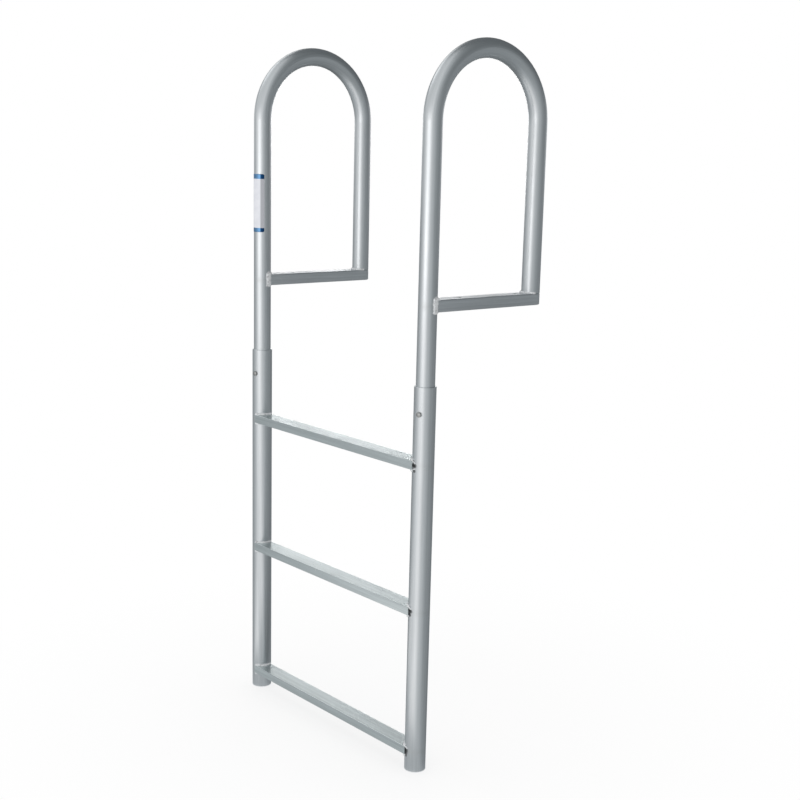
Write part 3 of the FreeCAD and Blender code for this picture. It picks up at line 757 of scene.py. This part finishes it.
def make_label():
    """Film wrapped round the front of the left handle: angle across, height along, corners cut round."""
    x = side_x["left"]
    front = leg_y - handle_radius
    high, low = (height_at_row(row, x, front) for row in LABEL_ROWS)
    band_high, band_low = (height_at_row(row, x, front) for row in LABEL_BAND_ROWS)
    radius = handle_radius + LABEL_LIFT
    across = np.linspace(-1, 1, LABEL_GRID[1])
    heights = low + np.linspace(0, 1, LABEL_GRID[0]) * (high - low)
    edge = np.minimum(heights - low, high - heights)
    cut = np.clip(LABEL_CORNER - edge, 0, None)
    trim = LABEL_CORNER - np.sqrt(np.clip(LABEL_CORNER ** 2 - cut ** 2, 0, None))
    reach = LABEL_REACH - trim / radius
    angle = -math.pi / 2 + reach[:, None] * across[None, :]
    points = np.stack([x + radius * np.cos(angle), leg_y + radius * np.sin(angle),
                       np.broadcast_to(heights[:, None], angle.shape)], axis=-1)
    piece = sheet_mesh("blank_label", points)
    thickness = piece.modifiers.new("thickness", "SOLIDIFY")
    thickness.thickness = LABEL_THICKNESS
    thickness.offset = 1.0
    # Where the strip of painted shade and print starts and is full.
    strip = (x + radius * math.sin(turn) for turn in LABEL_SHADE_STRIP)
    dress(piece, label_vinyl(band_low, band_high, *strip))


# Studio


# Turns are from the camera in degrees, left is negative; distances and heights over the floor are in metres.
WHITE = (1, 1, 1, 1)
# The floor: its rings' distances, close together near the feet, and the sides of each ring.
FLOOR_RINGS = np.concatenate([np.linspace(0.01, 3, 40), np.geomspace(3.2, 60, 20)])
FLOOR_SIDES = 96
FLOOR_COLOURS = ((0.90, 0.90, 0.90, 1), (0.94, 0.94, 0.94, 1))
FLOOR_GRAIN = 300.0
FLOOR_ROUGHNESS = 0.9
FLOOR_SHEEN = 0.1
# Share of plain white at the ladder's feet, and between which distances it grows to one.
FLOOR_GLOW = 0.75
FLOOR_FADE = (0.35, 1.1)
FILL_STRENGTH = 0.95
# Soft boxes: turn, height, distance, width and height of the box, how bright its face is (1 is white).
SOFT_BOXES = {
    "key": (-38.0, 0.78, 4.6, 3.0, 1.4, 1.05),
    "top": (-140.0, 4.0, 3.4, 3.6, 2.0, 0.7),
    "back": (180.0, 1.28, 5.0, 1.6, 0.7, 4.8),
}
# Grey flags round the ladder: turns and how much of the white they take away there.
FLAG_TURNS = (-180, -125, -58, -26, 10, 70, 180)
FLAG_SHARES = (0.88, 0.65, 0.02, 0.02, 0.42, 0.68, 0.82)
FLAG_MOST = 0.85
# Their profile along the floor, up and over: distances from the middle and heights, and rows and columns.
FLAG_AWAY = (0.02, 0.7, 2.0, 3.5, 5.2, 5.8, 4.6, 2.2, 0.3)
FLAG_HEIGHT = (0.0015, 0.002, 0.02, 0.06, 0.60, 3.4, 6.8, 8.0, 8.2)
FLAG_GRID = (145, 240)
# How far left of the middle the turns begin to be taken from the left leg.
FLAG_SPLIT = 0.17
# Darker upwards on the right: how much, heights where that starts and is full.
FLAG_ABOVE = (0.14, 0.9, 2.9)
# The darker patch on the floor to the left: how much, its middle turn and width, distances where it starts
# and is full, heights where it fades and ends.
FLAG_PATCH = (0.33, -71.0, 26.0, (0.5, 1.3), (0.3, 0.9))
# The darker floor close to the feet on the left: how much, its middle turn and width, distances where it
# fades and ends.
FLAG_FEET = (0.30, -165.0, 26.0, (0.5, 1.0))
# The floor just in front of the treads: how much is taken away there, how far before the legs' axes its
# middle lies, distances from that and heights where it fades and ends.
FLAG_FRONT = (0.54, 0.12, (0.08, 0.17), (0.01, 0.05))
# The gap behind the ladder: turns where it starts and is full, heights where it opens and closes again.
FLAG_GAP = ((105.0, 140.0), (1.0, 1.4), (1.55, 2.0))
# Up on the left, one grey: how much, heights where it starts and is full, and how far off straight ahead and
# straight behind it does so.
FLAG_OVER_LEFT = (0.32, (1.5, 2.7), (0, 30), (30, 75))
# A grey card under each handle's rear leg: how much it takes away, its radius and its height; the share of
# its radius where its rings start, and its rings and their points.
CARD = (0.76, 0.19, 0.94)
CARD_HOLE = 0.02
CARD_GRID = (12, 48)
# What the grey cloth does to white light at its densest.
FLAG_TINT = (0.89, 1.0, 1.05, 1)


def seen_rays(tree):
    """One for rays from the camera, off metal and through glass, nought for light that falls on things."""
    path = tree.nodes.new("ShaderNodeLightPath")
    seen = calc(tree, "MAXIMUM", path.outputs["Is Camera Ray"], path.outputs["Is Glossy Ray"])
    return calc(tree, "MAXIMUM", seen, path.outputs["Is Transmission Ray"])


def make_floor():
    """Round pale floor under the legs; far out it fades to the same white as the backdrop."""
    turn = np.linspace(0, 2 * np.pi, FLOOR_SIDES, endpoint=False)
    away = FLOOR_RINGS[:, None]
    points = np.stack([centre.x + away * np.cos(turn), centre.y + away * np.sin(turn),
                       np.full((len(away), len(turn)), floor_z)], axis=-1)
    piece = sheet_mesh("floor", points[::-1], closed_across=True, caps="last")
    material, tree, shader, position = new_finish("pale_floor")
    grain = noise(tree, position, FLOOR_GRAIN, rough=0.5)
    tree.links.new(mix_colour(tree, grain, *FLOOR_COLOURS), shader.inputs["Base Color"])
    shader.inputs["Roughness"].default_value = FLOOR_ROUGHNESS
    shader.inputs["Specular IOR Level"].default_value = FLOOR_SHEEN
    distance = node(tree, "VectorMath", {0: position, 1: (centre.x, centre.y, floor_z)}, operation="DISTANCE")
    far = remap(tree, distance.outputs["Value"], *FLOOR_FADE, FLOOR_GLOW, 1.0)
    white = node(tree, "Emission", {"Color": WHITE, "Strength": 1.0})
    blend = node(tree, "MixShader", {0: times(tree, seen_rays(tree), far), 1: shader.outputs[0],
                                     2: white.outputs[0]})
    tree.links.new(blend.outputs[0], tree.nodes["Material Output"].inputs["Surface"])
    piece.data.materials.append(material)


def make_world():
    """White all round where it is seen, and a plain fill of light."""
    world = bpy.data.worlds.new("studio")
    bpy.context.scene.world = world
    world.use_nodes = True
    tree = world.node_tree
    tree.nodes.clear()
    fill = node(tree, "Background", {"Color": WHITE, "Strength": FILL_STRENGTH})
    white = node(tree, "Background", {"Color": WHITE, "Strength": 1.0})
    blend = node(tree, "MixShader", {0: seen_rays(tree), 1: fill.outputs[0], 2: white.outputs[0]})
    out = tree.nodes.new("ShaderNodeOutputWorld")
    tree.links.new(blend.outputs[0], out.inputs["Surface"])


def make_lamps():
    """Soft boxes aimed at the ladder's middle; a box's power is its brightness over its whole face."""
    for name, (turn, height, distance, width, tall, glow) in SOFT_BOXES.items():
        data = bpy.data.lights.new(name, "AREA")
        data.shape = "RECTANGLE"
        data.size = width
        data.size_y = tall
        data.energy = glow * math.pi * width * tall
        lamp = bpy.data.objects.new(name, data)
        bpy.context.scene.collection.objects.link(lamp)
        angle = facing + math.radians(turn)
        lamp.location = (centre.x + distance * math.cos(angle), centre.y + distance * math.sin(angle),
                         floor_z + height)
        lamp.rotation_euler = (centre - lamp.location).to_track_quat("-Z", "Y").to_euler()
        lamp.visible_camera = False


def flag_greys(x, y, away, up):
    """How much of the white the flags take away at x, y, at given distances from the middle and heights."""
    beside = x - np.where(x > centre.x - FLAG_SPLIT, side_x["right"], side_x["left"])
    turn = np.degrees(np.arctan2(y - leg_y, beside) - facing)
    turn = (turn + 180) % 360 - 180
    last = np.clip(np.searchsorted(FLAG_TURNS, turn, side="right"), 1, len(FLAG_TURNS) - 1)
    share = ease(turn, np.take(FLAG_TURNS, last - 1), np.take(FLAG_TURNS, last))
    taken = np.take(FLAG_SHARES, last - 1) * (1 - share) + np.take(FLAG_SHARES, last) * share
    amount, start, full = FLAG_ABOVE
    above = np.clip((up - start) / (full - start), 0, 1)
    taken = taken + amount * above * np.clip(np.sin(np.radians(turn)), 0, 1)
    amount, patch_turn, width, distances, heights = FLAG_PATCH
    patch = ease(away, *distances) * (1 - ease(up, *heights))
    taken = taken + amount * patch * np.exp(-((turn - patch_turn) / width) ** 2)
    amount, feet_turn, width, distances = FLAG_FEET
    taken = taken + amount * (1 - ease(away, *distances)) * np.exp(-((turn - feet_turn) / width) ** 2)
    amount, before, distances, heights = FLAG_FRONT
    past_ends = np.maximum(np.maximum(side_x["left"] - x, x - side_x["right"]), 0)
    front = (1 - ease(np.hypot(y - leg_y + before, past_ends), *distances)) * (1 - ease(up, *heights))
    taken = taken + (amount - taken) * front
    turns, opening, closing = FLAG_GAP
    gap = ease(up, *opening) * (1 - ease(up, *closing)) * ease(np.abs(turn), *turns)
    amount, heights, off_ahead, off_behind = FLAG_OVER_LEFT
    over_left = ease(up, *heights) * ease(-turn, *off_ahead) * ease(180 + turn, *off_behind)
    taken = taken * (1 - gap) * (1 - over_left) + amount * over_left
    return np.clip(taken, 0, FLAG_MOST)


def flag_cloth():
    """Glowing cloth: how bright comes from the mesh's flag_grey, with a slight cool tint where it is dark."""
    material = bpy.data.materials.new("flag_cloth")
    material.use_nodes = True
    tree = material.node_tree
    tree.nodes.clear()
    shade = node(tree, "Attribute", attribute_name="flag_grey").outputs["Fac"]
    tint = mix_colour(tree, shade, FLAG_TINT, WHITE)
    glow = node(tree, "Emission", {"Color": tint, "Strength": shade})
    out = tree.nodes.new("ShaderNodeOutputMaterial")
    tree.links.new(glow.outputs[0], out.inputs["Surface"])
    return material


def hang_flag(name, points, cloth, taken):
    """Closed rings of points as a flag: its grey, one value for each point, shows only in reflections."""
    piece = sheet_mesh(name, points, closed_across=True)
    layer = piece.data.attributes.new("flag_grey", "FLOAT", "POINT")
    layer.data.foreach_set("value", (1 - taken).ravel())
    piece.data.materials.append(cloth)
    piece.visible_camera = False
    piece.visible_diffuse = False
    piece.visible_shadow = False
    piece.visible_transmission = False


def make_flags():
    """Ring of grey flags, from the floor up and over, and cards, that only the metal's reflections show.

    The ring is a profile of distance and height turned about the upright through the ladder's middle. Its
    grey goes by the turn as seen from the nearer leg, easing between the given turns by a cubic step. It is
    darker up on the right, on a patch of floor to the left and close to the feet, one even grey before the
    treads and up on the left, and open in a gap behind the ladder. The cards are level discs."""
    cloth = flag_cloth()
    rows, columns = FLAG_GRID
    along, knots = np.linspace(0, 1, rows), np.linspace(0, 1, len(FLAG_AWAY))
    away, up = np.interp(along, knots, FLAG_AWAY)[:, None], np.interp(along, knots, FLAG_HEIGHT)[:, None]
    angle = facing + np.radians(np.linspace(-180, 180, columns, endpoint=False))
    x, y = centre.x + away * np.cos(angle), centre.y + away * np.sin(angle)
    points = np.stack([x, y, np.broadcast_to(up + floor_z, x.shape)], axis=-1)
    hang_flag("flags", points, cloth, flag_greys(x, y, away, up))
    amount, reach, height = CARD
    rings = np.linspace(CARD_HOLE, 1, CARD_GRID[0])[:, None] * reach
    turns = np.linspace(0, 2 * np.pi, CARD_GRID[1], endpoint=False)
    for side, x in side_x.items():
        points = np.stack([x + rings * np.cos(turns), post_y + rings * np.sin(turns),
                           np.full(CARD_GRID, floor_z + height)], axis=-1)
        hang_flag(side + "_card", points, cloth, np.full(CARD_GRID, amount))


# The ladder


# Painted shade, partly weld soot, in the dark hollows on the right leg's front beside each tread: across from
# the leg's middle, down from the tread's top, half sizes and how dark; and painted shade round each handle
# screw.
SOOT_AND_SHADE_SPOTS = {
    "top": ((-1.4 * MM, 9.6 * MM, (7.8 * MM, 8.0 * MM, 6.2 * MM), 0.92),
            (-1.6 * MM, 20.4 * MM, (5.4 * MM, 8.0 * MM, 4.4 * MM), 0.85)),
    "middle": ((-2.0 * MM, 8.6 * MM, (7.6 * MM, 8.0 * MM, 5.6 * MM), 0.88),
               (-3.6 * MM, 16.4 * MM, (6.0 * MM, 8.0 * MM, 5.2 * MM), 0.82)),
    "bottom": ((-3.0 * MM, 9.5 * MM, (6.8 * MM, 8.0 * MM, 9.0 * MM), 0.80),
               (-4.2 * MM, 18.5 * MM, (5.4 * MM, 8.0 * MM, 6.5 * MM), 0.74)),
}
# Painted shade round the head of each handle screw: half sizes and how dark.
SCREW_SHADE = ((7.6 * MM, 7.6 * MM, 7.6 * MM), 0.6)
EXTRUDED_ALONG_X = (0.0, math.pi / 2, 0.0)
EXTRUDED_ALONG_Y = (math.pi / 2, 0.0, 0.0)
DECK_BAR_FINISH = ((0.87, 0.89, 0.91, 1), 0.30)
TREAD_FINISH = ((0.825, 0.88, 0.885, 1), 0.23)

tread_heights = [middle("tread_" + tread).z for tread in TREADS]
soot_and_shade_spots = [((side_x["right"] + across, leg_y - leg_radius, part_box("tread_" + tread)[1].z - drop), size, depth)
         for tread in TREADS for across, drop, size, depth in SOOT_AND_SHADE_SPOTS[tread]]
# Each handle screw gets a ring of painted shade on the leg round its head.
soot_and_shade_spots += [(tuple(middle(side + "_handle_screw")), *SCREW_SHADE) for side in SIDES]
finishes = {
    "leg_tube": tube_metal("satin_leg_tube", heats=tread_heights, soot_and_shade_spots=soot_and_shade_spots),
    "handle_tube": tube_metal("satin_handle_tube", hoop_path, heats=[middle("right_deck_bar").z]),
    "deck_bar": mill_metal("mill_deck_bar", *DECK_BAR_FINISH, EXTRUDED_ALONG_Y),
    "tread": mill_metal("mill_tread", *TREAD_FINISH, EXTRUDED_ALONG_X),
    "weld": weld_finish,
    "screw": stainless(),
}
slots = {part["node"]: part["material_slot"] for part in frame["record"]["subparts"]}
for name, obj in frame["nodes"].items():
    for slot in obj.material_slots:
        slot.material = finishes[slots[name]]

for side in SIDES:
    make_bar_weld(side)
    make_post_weld(side)
    make_spatter(side)
    for tread in TREADS:
        make_tread_welds(side, tread)
for tread in TREADS:
    make_end_beads(tread)
make_label()
make_floor()
make_world()
make_lamps()
make_flags()
make_camera()
bpy.context.scene.view_settings.view_transform = "Standard"
